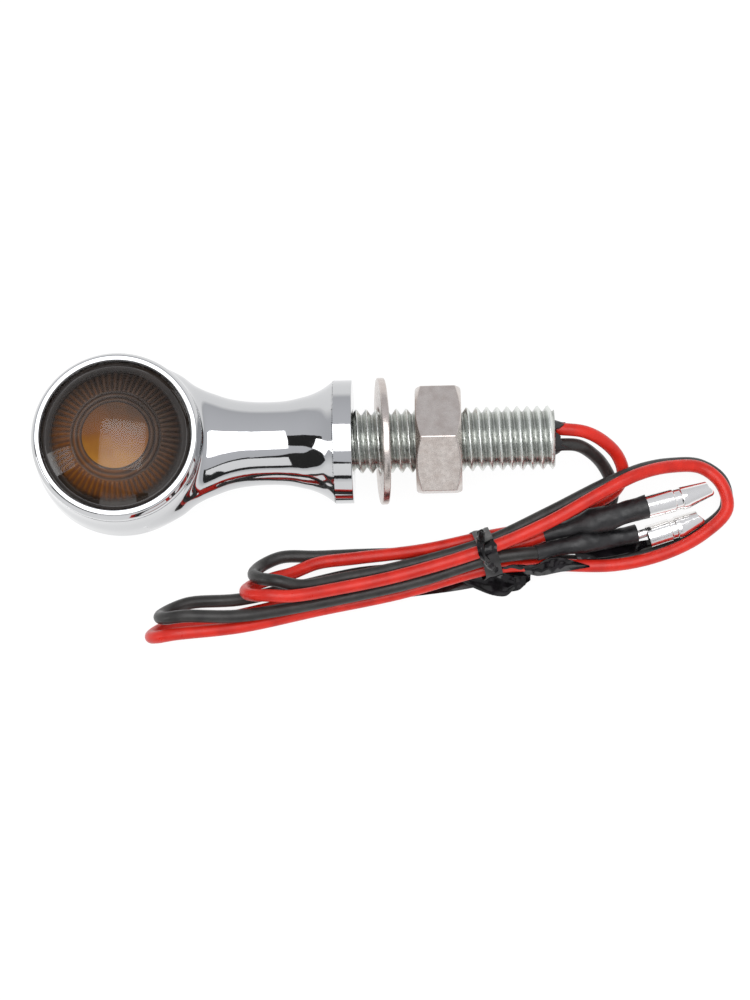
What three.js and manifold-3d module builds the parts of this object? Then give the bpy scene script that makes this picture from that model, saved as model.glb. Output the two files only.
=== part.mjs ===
// A small round motorcycle turn signal: a chrome cup on a waisted neck, a hollow threaded stud with its loose
// washer and nut, and two flying leads that are folded, tied with a ribbon and end in bullet terminals.
// Millimetres. +X runs along the stud, +Z is the way the lens faces, and the part lies on z = 0.
import * as THREE from "three";
import { mergeVertices } from "three/addons/utils/BufferGeometryUtils.js";
import Module from "manifold-3d";

const wasm = await Module();
wasm.setup();

// ---- driving dimensions ----

const STEM_Z = 8; // height of the stud's axis over the surface the part lies on
const HEAD_R = 11; // the cup at its widest
const HEAD_TO_END = 53.85; // head axis to the stud's free end
const FLANGE_FACE = 28.85; // head axis to the clamping face
const THREAD_R = 4; // M8
const BORE_R = 2.5; // wire bore of the stud
const WALL = 1.6;
const GAP = 0.05; // between pieces that rest on each other
const FREE = 0.3; // between pieces that only come close

const HEAD_X = HEAD_R - (HEAD_R + HEAD_TO_END) / 2; // the whole length is centred on x = 0
const FACE_X = HEAD_X + FLANGE_FACE;
const END_X = HEAD_X + HEAD_TO_END;

// Heights in the head, measured from the stem's axis.
const BOTTOM = -STEM_Z;
const BARREL = -1.5; // where the dome ends and the barrel begins
const RIM = 5.6; // top edge of the cup
const LIP_R = 10.45; // radius of that edge, and of the trim ring
const RING_TOP = 7.8;
const LENS_R = 9.2; // visible radius of the lens
const LENS_TOP = 10.4;
const CAVITY_R = HEAD_R - WALL;
const CAVITY_BOTTOM = BOTTOM + WALL;

const ROOT_R = 3.3; // plain root of the stud inside the neck
const ROOT_START = 18; // from the head axis
const SEAT_DEPTH = 1; // how far the thread sits inside the clamping face
const SEAT_R = THREAD_R + 0.1;
const LEAD_R = 0.8;

const SMOOTH = 40; // sides of a large round piece
const SMALL = 24; // sides of a small one

const UP = new THREE.Vector3(0, 1, 0);

// ---- materials ----

function material(color, metalness, roughness, opacity = 1) {
  return new THREE.MeshStandardMaterial({ color, metalness, roughness, opacity, transparent: opacity < 1 });
}

const CHROME = material(0xd8dadd, 1, 0.08);
const ZINC = material(0xb9bdb4, 1, 0.35);
const NICKEL = material(0xc9bdb8, 1, 0.28);
const TINNED = material(0xe4e4e6, 1, 0.15);
const SMOKED = material(0x1c1512, 0, 0.05, 0.6);
const AMBER = material(0xe0731c, 0, 0.1, 0.7);
const SILVERED = material(0xdedede, 1, 0.1);
const BRASS = material(0xc8a860, 1, 0.3);
const SPRING_STEEL = material(0x9a9ca0, 1, 0.3);
const PHENOLIC = material(0x5b3a22, 0, 0.6);
const RUBBER = material(0x1a1a1a, 0, 0.8);
const RED_PVC = material(0xcf2f24, 0, 0.4);
const BLACK_PVC = material(0x3a3835, 0, 0.45);
const SLEEVING = material(0x262626, 0, 0.5);
const RIBBON = material(0x141216, 0, 0.15);

// ---- helpers ----

const part = new THREE.Group();

function add(name, geometry, finish, parent = part) {
  const mesh = new THREE.Mesh(geometry, finish);
  mesh.name = name;
  parent.add(mesh);
  return mesh;
}

// A profile of [radius, height] points, revolved about the y axis. It starts and ends on the axis or closes.
function revolve(profile, sides) {
  return new THREE.LatheGeometry(profile.map(([r, y]) => new THREE.Vector2(r, y)), sides);
}

function aboutZ(profile, sides) {
  return revolve(profile, sides).rotateX(Math.PI / 2);
}

function aboutX(profile, sides) {
  return revolve(profile, sides).rotateZ(-Math.PI / 2);
}

// A ring with a rectangular section, between two radii and two heights.
function ring(inner, outer, low, high) {
  return [[inner, low], [outer, low], [outer, high], [inner, high], [inner, low]];
}

// Points on an ellipse about [0, height], from one angle to another, in degrees from the radius.
function ellipseArc(a, b, height, from, to, steps) {
  return Array.from({ length: steps + 1 }, (_, i) => {
    const angle = THREE.MathUtils.degToRad(from + ((to - from) * i) / steps);
    return [Math.max(0, a * Math.cos(angle)), height + b * Math.sin(angle)];
  });
}

// Points on a spherical cap that is `rise` high over a rim of the given radius, from its top to a radius.
function cap(rimR, top, rise, toR, steps) {
  const sphere = (rimR * rimR + rise * rise) / (2 * rise);
  return Array.from({ length: steps + 1 }, (_, i) => {
    const r = (toR * i) / steps;
    return [r, top - sphere + Math.sqrt(sphere * sphere - r * r)];
  });
}

function solid(geometry) {
  const bare = geometry.clone();
  bare.deleteAttribute("normal");
  bare.deleteAttribute("uv");
  const merged = mergeVertices(bare, 1e-4);
  return new wasm.Manifold(
    new wasm.Mesh({
      numProp: 3,
      vertProperties: merged.attributes.position.array,
      triVerts: new Uint32Array(merged.index.array),
    }),
  );
}

function geometryOf(body) {
  const mesh = body.getMesh();
  return new THREE.BufferGeometry()
    .setAttribute("position", new THREE.BufferAttribute(mesh.vertProperties, 3))
    .setIndex(new THREE.BufferAttribute(mesh.triVerts, 1));
}

function vectors(points) {
  return points.map(([x, y, z]) => new THREE.Vector3(x, y, z));
}

function roundSection(radius, sides) {
  const points = Array.from({ length: sides }, (_, i) => {
    const angle = (2 * Math.PI * i) / sides;
    return new THREE.Vector2(radius * Math.cos(angle), radius * Math.sin(angle));
  });
  return new THREE.Shape(points);
}

// A plain round tube along a smooth curve through the points.
function tube(points, radius, steps, sides = 8) {
  const extrudePath = new THREE.CatmullRomCurve3(vectors(points));
  return new THREE.ExtrudeGeometry(roundSection(radius, sides), { extrudePath, steps });
}

// Turns a mesh that was made along +y so that it runs from one point towards another.
function aim(mesh, from, to) {
  const start = new THREE.Vector3(...from);
  mesh.position.copy(start);
  mesh.quaternion.setFromUnitVectors(UP, new THREE.Vector3(...to).sub(start).normalize());
}

// ---- the head ----

const head = new THREE.Group();
head.position.set(HEAD_X, 0, STEM_Z);
part.add(head);

// Half-widths of the neck, by distance from the head axis: a flare out of the cup, a waist and the flange.
const NECK = [
  [6.2, 9.4], [7.7, 8.6], [8.8, 7.75], [10.3, 6.9], [11.8, 6.3], [13.2, 5.8], [14.7, 5.46], [16.2, 5.27],
  [18.5, 5.18], [20.7, 5.3], [22.2, 5.6], [23.7, 6], [25.2, 6.7], [26.6, 7.69], [FLANGE_FACE, 7.69],
];
const NECK_START = 4;
const NECK_LOW = BOTTOM + 0.6; // the flare is cut flat here, above the surface the part lies on

function makeHousing() {
  const outside = [
    ...ellipseArc(HEAD_R, BARREL - BOTTOM, BARREL, -90, 0, 8),
    [HEAD_R - 0.12, 1.5], [LIP_R + 0.12, 4], [LIP_R, RIM], [0, RIM],
  ];
  const inside = [
    ...ellipseArc(CAVITY_R, BARREL - CAVITY_BOTTOM, BARREL, -90, 0, 6),
    [CAVITY_R, RIM + 1], [0, RIM + 1],
  ];
  const neck = [[0, NECK_START], [NECK[0][1], NECK_START], ...NECK.map(([x, r]) => [r, x]), [0, FLANGE_FACE]];
  const ringSpace = [[0, RIM - GAP], [LIP_R + FREE, RIM - GAP], [LIP_R + FREE, 12], [0, 12]];
  const below = [[0, BOTTOM - 4], [20, BOTTOM - 4], [20, NECK_LOW], [0, NECK_LOW]];
  const channel = [
    [0, NECK_START], [BORE_R + 1, NECK_START], [BORE_R + 1, HEAD_R], [BORE_R, HEAD_R + 1], [BORE_R, ROOT_START + 1],
    [0, ROOT_START + 1],
  ];
  const rootHole = [
    [0, ROOT_START - FREE], [ROOT_R + GAP, ROOT_START - FREE], [ROOT_R + GAP, FLANGE_FACE - SEAT_DEPTH],
    [SEAT_R, FLANGE_FACE - SEAT_DEPTH], [SEAT_R, FLANGE_FACE + 1], [0, FLANGE_FACE + 1],
  ];
  const trimmedNeck = solid(aboutX(neck, SMOOTH))
    .subtract(solid(aboutZ(ringSpace, SMOOTH)))
    .subtract(solid(aboutZ(below, SMALL)));
  return solid(aboutZ(outside, SMOOTH))
    .add(trimmedNeck)
    .subtract(solid(aboutZ(inside, SMOOTH)))
    .subtract(solid(aboutX(channel, SMALL)))
    .subtract(solid(aboutX(rootHole, SMALL)));
}

const LENS_SEAT = RIM + 0.4; // underside of the lens flange, on top of the gasket
const LENS_FLANGE_R = 9.75;
const LENS_FLANGE_TOP = LENS_SEAT + 0.8;
const LENS_WALL = 1.1;
const LENS_RISE = 3.2;

function makeTrimRing() {
  return aboutZ([
    [LENS_FLANGE_R + 0.15, RIM + GAP], [LIP_R, RIM + GAP], [LIP_R, RING_TOP - 0.7], [LIP_R - 0.25, RING_TOP - 0.15],
    [LIP_R - 0.7, RING_TOP], [LENS_R + 0.3, RING_TOP], [LENS_R, RING_TOP - 0.3], [LENS_R, LENS_FLANGE_TOP + GAP],
    [LENS_FLANGE_R + 0.15, LENS_FLANGE_TOP + GAP], [LENS_FLANGE_R + 0.15, RIM + GAP],
  ], SMOOTH);
}

function makeOuterLens() {
  const domeR = LENS_R - GAP;
  const innerR = domeR - LENS_WALL;
  return aboutZ([
    ...cap(innerR, LENS_TOP - LENS_WALL, LENS_RISE - 0.5, innerR, 7),
    [innerR, LENS_SEAT], [LENS_FLANGE_R, LENS_SEAT], [LENS_FLANGE_R, LENS_FLANGE_TOP], [domeR, LENS_FLANGE_TOP],
    ...cap(domeR, LENS_TOP, LENS_RISE, domeR, 8).reverse(),
  ], SMOOTH);
}

const INNER_LENS_R = 7.9;
const INNER_LENS_TOP = 8.2;
const REFLECTOR_TOP = 4.35;

function makeInnerLens() {
  const wall = 1;
  const innerR = INNER_LENS_R - wall;
  return aboutZ([
    ...cap(innerR, INNER_LENS_TOP - wall, 2.2, innerR, 6),
    [innerR, REFLECTOR_TOP + GAP], [9, REFLECTOR_TOP + GAP], [9, REFLECTOR_TOP + 0.9],
    [INNER_LENS_R, REFLECTOR_TOP + 0.9],
    ...cap(INNER_LENS_R, INNER_LENS_TOP, 2.6, INNER_LENS_R, 7).reverse(),
  ], SMOOTH);
}

function makeReflector() {
  const bowl = (r) => -2.6 + ((REFLECTOR_TOP + 2.6) * (r * r - 14)) / (7.4 * 7.4 - 14);
  const inside = [3.75, 4.8, 5.8, 6.6, 7.4].map((r) => [r, bowl(r)]);
  return aboutZ([
    ...inside.reverse(), [3.75, -3.2], [4.9, -3.2], [4.9, -2.6], [5.9, -0.4], [6.8, 1.2], [7.7, 2.7], [9.1, 3.1],
    [9.1, REFLECTOR_TOP], inside[0],
  ], SMOOTH);
}

const SOCKET_LOW = -4.7;
const INSULATOR_TOP = SOCKET_LOW + 0.6;

function makeBulbGlass() {
  return aboutZ([
    [0, -0.9], [2.3, -0.9], [2.4, -0.4], ...ellipseArc(3.3, 3.3, 2.1, -40, 90, 8),
  ], SMALL);
}

function makeBulbSocket() {
  return aboutZ([
    [2.2, SOCKET_LOW], [3.4, SOCKET_LOW], [3.4, -1.3], [2.85, -1.3], [2.85, SOCKET_LOW + 0.5],
    [2.2, SOCKET_LOW + 0.5], [2.2, SOCKET_LOW],
  ], SMALL);
}

// The centre contact's spring: a helix about the z axis, between two heights.
function makeContactSpring(low, high, radius, turns) {
  const perTurn = 10;
  const points = Array.from({ length: turns * perTurn + 1 }, (_, i) => {
    const angle = (2 * Math.PI * i) / perTurn;
    return [radius * Math.cos(angle), radius * Math.sin(angle), low + ((high - low) * i) / (turns * perTurn)];
  });
  return tube(points, 0.14, turns * perTurn, 6);
}

add("housing", geometryOf(makeHousing()), CHROME, head);
add("trim_ring", makeTrimRing(), CHROME, head);
add("outer_lens", makeOuterLens(), SMOKED, head);
add("lens_gasket", aboutZ(ring(9, 9.7, RIM + GAP, LENS_SEAT - GAP), SMOOTH), RUBBER, head);
add("inner_lens", makeInnerLens(), AMBER, head);
add("reflector", makeReflector(), SILVERED, head);
add("bulb_glass", makeBulbGlass(), AMBER, head);
add("bulb_base", aboutZ([[0, -3], [2.2, -3], [2.6, -2.6], [2.6, -0.95], [0, -0.95]], SMALL), BRASS, head);
add("bulb_socket", makeBulbSocket(), BRASS, head);
add("socket_insulator", aboutZ(ring(0.6, 2.1, SOCKET_LOW, INSULATOR_TOP), SMALL), PHENOLIC, head);
add("contact_spring", makeContactSpring(INSULATOR_TOP + 0.2, -3.2, 0.8, 2), SPRING_STEEL, head);
add("contact_pin", aboutZ([[0, -5.6], [0.45, -5.6], [0.45, -3.05], [0, -3.05]], 12), BRASS, head);
const groundTab = add("ground_tab", new THREE.BoxGeometry(1.2, 0.3, 1.4), BRASS, head);
groundTab.position.set(0, -3.6, -3.98);
const contactStrip = add("contact_strip", new THREE.BoxGeometry(3.6, 1, 0.25), BRASS, head);
contactStrip.position.set(2.4, 0, -5.05);

// ---- the stud, its washer and its nut ----

const stem = new THREE.Group();
stem.position.set(0, 0, STEM_Z);
part.add(stem);

const CHAMFER = 0.6;
const SHOULDER_X = FACE_X - SEAT_DEPTH + GAP;
add("stud", aboutX([
  [BORE_R, HEAD_X + ROOT_START], [ROOT_R, HEAD_X + ROOT_START], [ROOT_R, SHOULDER_X],
  [THREAD_R, SHOULDER_X], [THREAD_R, END_X - CHAMFER], [THREAD_R - CHAMFER, END_X], [BORE_R, END_X],
  [BORE_R, HEAD_X + ROOT_START],
], 32), ZINC, stem);

const WASHER_R = 7.9;
const WASHER_BORE_R = 4.35;
const WASHER_T = 0.9;
const WASHER_X = 11.05;
const washer = add("washer", aboutX(ring(WASHER_BORE_R, WASHER_R, -WASHER_T / 2, WASHER_T / 2), SMOOTH), NICKEL, stem);
washer.position.x = WASHER_X;
washer.rotation.set(0, THREE.MathUtils.degToRad(5), THREE.MathUtils.degToRad(2));

const NUT_START = 15.2;
const NUT_T = 5.7;
const NUT_FLATS = 13;
const NUT_BORE_R = 4.15;
const NUT_TURN = 7.6; // degrees from +z towards -y, to the nearest corner

function makeNut() {
  const cornerR = NUT_FLATS / Math.sqrt(3);
  const corners = Array.from({ length: 6 }, (_, i) => {
    const angle = THREE.MathUtils.degToRad(60 * i);
    return new THREE.Vector2(cornerR * Math.cos(angle), cornerR * Math.sin(angle));
  });
  const prism = new THREE.ExtrudeGeometry(new THREE.Shape(corners), { depth: NUT_T, bevelEnabled: false });
  const faceR = NUT_FLATS / 2 - 0.1;
  const drop = 0.65;
  const envelope = [
    [0, 0], [faceR, 0], [faceR + 2, drop * 1.6], [faceR + 2, NUT_T - drop * 1.6], [faceR, NUT_T], [0, NUT_T],
  ];
  const sink = NUT_BORE_R + 0.5;
  const bore = [
    [0, -1], [sink + 1, -1], [NUT_BORE_R, 0.5], [NUT_BORE_R, NUT_T - 0.5], [sink + 1, NUT_T + 1], [0, NUT_T + 1],
  ];
  return solid(prism).intersect(solid(aboutZ(envelope, 36))).subtract(solid(aboutZ(bore, 32)));
}

const nut = add("nut", geometryOf(makeNut()).rotateZ(-Math.PI / 2).rotateY(Math.PI / 2), NICKEL, stem);
nut.position.x = NUT_START;
nut.rotation.x = THREE.MathUtils.degToRad(NUT_TURN + 90);

// ---- the leads inside ----

add("red_inner_lead", tube([
  [END_X - 0.1, 1.05, 8.3], [20, 1.05, 8.3], [4, 1.05, 8.3], [-8, 1.05, 8.3], [-11.5, 1.05, 7.9],
  [-13.4, 1, 6.2], [-14.7, 0.7, 4.4], [-16.9, 0.3, 3.3],
], LEAD_R, 24), RED_PVC);
add("black_inner_lead", tube([
  [END_X - 0.1, -0.8, 7.5], [20, -0.8, 7.6], [4, -0.8, 7.6], [-8, -0.8, 7.6], [-11.5, -0.9, 7],
  [-13.4, -1.4, 5.5], [-15, -2.3, 4.5], [-17.4, -3.4, 3.9], [-20.2, -3.9, 3.7],
], LEAD_R, 26), BLACK_PVC);
add("lead_sleeve", aboutX(ring(2.05, 2.4, 20, END_X + 0.6), SMALL), SLEEVING, stem);

// ---- the flying leads ----

const WIRE_R = 0.8;
const WIRE_START_X = END_X + 0.2;
const WIRE_STEPS = 78;

// Out of the stud, under the big loop, through the tie, loop A, the tie, the big loop, the tie, loop B, the tie.
const RED_ROUTE = [
  [WIRE_START_X, 1.05, 8.3], [36.2, 0.7, 7.7], [38.7, -0.3, 6], [40.5, -1.9, 4.1], [41.1, -3.9, 3],
  [40.1, -5.9, 2.8], [37.4, -7.5, 2], [31.5, -9.8, 1.1], [23.1, -11.6, 2.8], [16, -13, 2.9], [7.2, -13.9, 2.8],
  [2.5, -14.4, 2.6], [-0.8, -15.5, 1.9], [-3, -16, 1.6], [-5.4, -16.9, 2.4], [-6.4, -18, 4.7],
  [-5.6, -18.8, 6.9], [-3.3, -19.1, 8], [-0.5, -19.2, 7.8], [5.4, -18.2, 6.8], [12.8, -16.7, 6.3],
  [23.7, -13.6, 6.3], [31.3, -10.5, 6.4], [37.9, -7, 6.7], [42.7, -4.6, 6.2], [47.1, -3.3, 4.2],
  [51, -3.3, 2.8], [53.4, -5.4, 2.8], [54, -8.6, 2.8], [50.9, -11.7, 2.8], [46, -14.1, 2.8],
  [39.7, -15.4, 2.7], [30.9, -15.2, 2.7], [24.3, -15.5, 2.8], [12.7, -18.4, 2.5], [2.7, -20.4, 3.4],
  [-7.1, -22.7, 6.1], [-15, -23.6, 7.4], [-17.3, -23.8, 6.4], [-18.3, -23.4, 4.1], [-17.3, -22.3, 1.9],
  [-15, -21.4, 0.9], [-11.2, -21.2, 0.9], [-1.2, -19.2, 0.9], [7.9, -17.4, 1.3], [14, -16.2, 2.7],
  [23.7, -13.6, 3.1], [29.1, -12.2, 3.2], [31.1, -11.5, 3.3],
];
const BLACK_ROUTE = [
  [WIRE_START_X, -0.8, 7.5], [35.3, -0.8, 6.7], [37.4, -1.6, 4.4], [38.9, -2.9, 2.1], [39.8, -4.8, 0.9],
  [39.6, -7.1, 0.9], [36.9, -9.8, 0.9], [31.1, -12, 1.05], [23.4, -12.6, 1.25], [15.3, -13.1, 1.05],
  [7.1, -13.2, 0.9], [2.4, -13.3, 0.9], [-2, -13.3, 1.1], [-4.4, -14.4, 2], [-5.4, -15.8, 4.2],
  [-4.5, -16.7, 6.3], [-2.2, -17.2, 7.2], [0.6, -17.7, 6.3], [5.9, -16.7, 4.9], [12.8, -15.4, 4.5],
  [23.4, -12.6, 4.6], [31.4, -9, 4.5], [38, -5.8, 4.8], [40.8, -4.6, 4.8], [43.5, -3.5, 4.1],
  [47.1, -2.6, 2.2], [51, -2.6, 0.9], [53.7, -4.7, 0.9], [54, -8.1, 0.9], [50.9, -10.9, 0.9],
  [45.9, -13.2, 0.9], [39.6, -14.5, 0.9], [31, -14.4, 1.05], [24, -14.6, 1.25], [16, -15.1, 1.05],
  [7.9, -15.5, 0.9], [-0.1, -17.1, 0.9], [-7.5, -18.6, 1.2], [-13.7, -19, 1.8], [-16.1, -20, 2.8],
  [-17.1, -21.1, 5.1], [-16.1, -21.6, 7.4], [-13.7, -21.5, 8.3], [-7, -21.5, 7.5], [4, -19.5, 5.1],
  [15.3, -17.1, 4.5], [24, -14.6, 4.8], [28.4, -14, 4.6], [30.1, -13.85, 4.3],
];

add("red_wire", tube(RED_ROUTE, WIRE_R, WIRE_STEPS), RED_PVC);
add("black_wire", tube(BLACK_ROUTE, WIRE_R, WIRE_STEPS), BLACK_PVC);

// A sleeve shrunk over a wire end and a crimp: slim on the wire, a bulge on the crimp, then round the terminal.
function heatShrink(length, thin, bulge, end) {
  return revolve([
    [0, 0], [thin, 0], [thin + 0.1, length * 0.25], [bulge - 0.1, length * 0.36], [bulge, length * 0.5],
    [bulge - 0.15, length * 0.62], [end, length * 0.72], [end + 0.05, length], [0, length],
  ], 16);
}

// A bullet terminal, solid here: a rolled barrel with a ring groove, and a tip that tapers.
function bullet(length) {
  const r = 1.45;
  return revolve([
    [0, 0], [r, 0], [r, length * 0.55], [r - 0.2, length * 0.58], [r - 0.2, length * 0.62], [r, length * 0.65],
    [r, length * 0.76], [r * 0.62, length], [0, length],
  ], 16);
}

const TERMINALS = [
  { lead: "red", sleeve: [[31.5, -11.35, 3.3], [44, -7.8, 4.6]], pin: [[44.4, -7.7, 4.6], [52, -5.4, 3.6]] },
  { lead: "black", sleeve: [[30.4, -13.8, 4.25], [42.6, -11.1, 2]], pin: [[43.3, -11.8, 2.3], [50.4, -9.4, 2.5]] },
];

for (const { lead, sleeve, pin } of TERMINALS) {
  const length = ([from, to]) => new THREE.Vector3(...from).distanceTo(new THREE.Vector3(...to));
  const shrink = add(`${lead}_heat_shrink`, heatShrink(length(sleeve), 0.95, 1.35, 1.2), SLEEVING);
  aim(shrink, ...sleeve);
  const terminal = add(`${lead}_bullet`, bullet(length(pin)), TINNED);
  aim(terminal, ...pin);
}

// ---- the ribbon that ties the leads ----

const TIE = [23.72, -13.64]; // where it goes round the eight strands
const TIE_TURN = 16.7; // degrees that the strands run from +x towards +y there
const RIBBON_T = 0.14;
const WRAP_WIDTH = 2.2;
const WRAP_CLEAR = 0.22; // from the strands to the ribbon

// The outermost strands at the tie, as [across, height], anticlockwise.
const STRANDS = [[0.95, 1.2], [2, 2.8], [0.95, 4.6], [0, 6.3], [-0.95, 4.8], [-1.95, 2.8], [-1, 1.2]];

// The outline that a band takes when it is pulled tight round circles of one radius.
function bandRound(centres, radius, steps = 24) {
  return Array.from({ length: steps }, (_, i) => {
    const angle = (2 * Math.PI * i) / steps;
    const out = new THREE.Vector2(Math.cos(angle), Math.sin(angle));
    const points = centres.map(([u, z]) => new THREE.Vector2(u, z));
    const far = points.reduce((best, point) => (point.dot(out) > best.dot(out) ? point : best));
    return far.addScaledVector(out, radius);
  });
}

function makeWrap() {
  const inner = WIRE_R + WRAP_CLEAR;
  const shape = new THREE.Shape(bandRound(STRANDS, inner + RIBBON_T));
  shape.holes.push(new THREE.Path(bandRound(STRANDS, inner)));
  return new THREE.ExtrudeGeometry(shape, { depth: WRAP_WIDTH, bevelEnabled: false })
    .rotateX(Math.PI / 2)
    .rotateZ(Math.PI / 2);
}

// A loose end of the ribbon: [along, height] points, thickened and drawn out to a width.
function makeTail(side, width) {
  const path = new THREE.SplineCurve(side.map(([s, z]) => new THREE.Vector2(s, z)));
  const steps = 3 * side.length;
  const edge = (sign) =>
    path.getPoints(steps).map((point, i) => {
      const along = path.getTangent(i / steps);
      return point.add(new THREE.Vector2(-along.y, along.x).setLength((sign * RIBBON_T) / 2));
    });
  const shape = new THREE.Shape([...edge(-1), ...edge(1).reverse()]);
  return new THREE.ExtrudeGeometry(shape, { depth: width, bevelEnabled: false })
    .translate(0, 0, -width / 2)
    .rotateX(Math.PI / 2);
}

const tie = new THREE.Group();
tie.position.set(...TIE, 0);
tie.rotation.z = THREE.MathUtils.degToRad(TIE_TURN);
part.add(tie);
add("tie_wrap", makeWrap(), RIBBON, tie).position.x = -WRAP_WIDTH / 2;

const KNOT = [25.9, -17.3, 1.9];
const knot = add("tie_knot", new THREE.SphereGeometry(1, 14, 8), RIBBON);
knot.position.set(...KNOT);
knot.scale.set(1.1, 0.75, 1.4);

const TAILS = [
  { name: "tie_tail_left", start: [24.5, -17.6], turn: 186, side: [[0, 1], [3, 0.4], [8, 0.15], [17, 0.15]] },
  { name: "tie_tail_right", start: [27.4, -17], turn: 7, side: [[0, 3.6], [2, 3.85], [6, 3.8], [12.6, 3.8]] },
];
for (const { name, start, turn, side } of TAILS) {
  const tail = add(name, makeTail(side, 2.4), RIBBON);
  tail.position.set(...start, 0);
  tail.rotation.z = THREE.MathUtils.degToRad(turn);
}

export default part;
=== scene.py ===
"""A motorcycle turn signal, lying with its lens up: chrome cup and neck, hollow threaded stud with washer and
nut, and two leads that are folded and tied with a ribbon. Lengths are written in millimetres and turned to
metres where an object is made."""

import math

import bmesh
import bpy
import numpy as np
from mathutils import Matrix, Vector, noise


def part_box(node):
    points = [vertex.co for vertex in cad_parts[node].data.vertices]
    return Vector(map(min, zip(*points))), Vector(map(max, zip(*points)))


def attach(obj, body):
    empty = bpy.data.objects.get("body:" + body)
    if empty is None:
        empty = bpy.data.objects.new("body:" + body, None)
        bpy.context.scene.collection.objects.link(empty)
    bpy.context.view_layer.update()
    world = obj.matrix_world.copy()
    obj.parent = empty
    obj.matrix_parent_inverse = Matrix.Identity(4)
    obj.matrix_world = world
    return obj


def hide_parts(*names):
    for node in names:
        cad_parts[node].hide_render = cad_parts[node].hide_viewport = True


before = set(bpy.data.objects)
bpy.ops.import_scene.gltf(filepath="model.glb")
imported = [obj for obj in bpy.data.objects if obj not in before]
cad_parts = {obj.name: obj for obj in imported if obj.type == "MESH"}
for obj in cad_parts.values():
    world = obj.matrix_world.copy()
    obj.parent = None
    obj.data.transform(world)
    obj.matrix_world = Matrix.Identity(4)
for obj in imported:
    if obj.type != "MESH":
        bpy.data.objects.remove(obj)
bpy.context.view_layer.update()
MM = 0.001

# ---- places that come from the frame, in millimetres ----


def box(node):
    """The lowest and the highest corner of a node."""
    low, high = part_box(node)
    return Vector(low) / MM, Vector(high) / MM


HEAD_LOW, HEAD_HIGH = box("housing")
RING_LOW, RING_HIGH = box("trim_ring")
STUD_LOW, STUD_HIGH = box("stud")
HEAD = (RING_LOW + RING_HIGH) / 2  # the head's axis, in x and y
STEM_Z = (STUD_LOW.z + STUD_HIGH.z) / 2
END_X = STUD_HIGH.x
FACE_X = HEAD_HIGH.x

# ---- camera ----

LOOK_AT = (9.97, -7.2, 6.75)
AZIMUTH = 8.67
ELEVATION = 80
ROLL = -9.74
DISTANCE = 350
SENSOR = 36
FOCAL = 101.2


def make_camera():
    """A long lens, nearly overhead, turned a little."""
    data = bpy.data.cameras.new("camera")
    camera = bpy.data.objects.new("camera", data)
    bpy.context.scene.collection.objects.link(camera)
    bpy.context.scene.camera = camera
    data.sensor_fit = "VERTICAL"
    data.sensor_height = SENSOR
    data.lens = FOCAL
    data.clip_start = 0.01
    azimuth, elevation = math.radians(AZIMUTH), math.radians(ELEVATION)
    back = Vector((math.sin(azimuth) * math.cos(elevation), -math.cos(azimuth) * math.cos(elevation),
                   math.sin(elevation)))
    camera.location = (Vector(LOOK_AT) + DISTANCE * back) * MM
    turn = back.to_track_quat("Z", "Y").to_matrix()
    camera.rotation_euler = (turn @ Matrix.Rotation(math.radians(ROLL), 3, "Z")).to_euler()


make_camera()

# ---- colours and surfaces ----

THREAD_R = 4
THREAD_ROOT = 3.3
FLUTES = 64
FLUTE_IN = 5.7
DISC_R = 4.1
RING_STEP = 0.62


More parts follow.
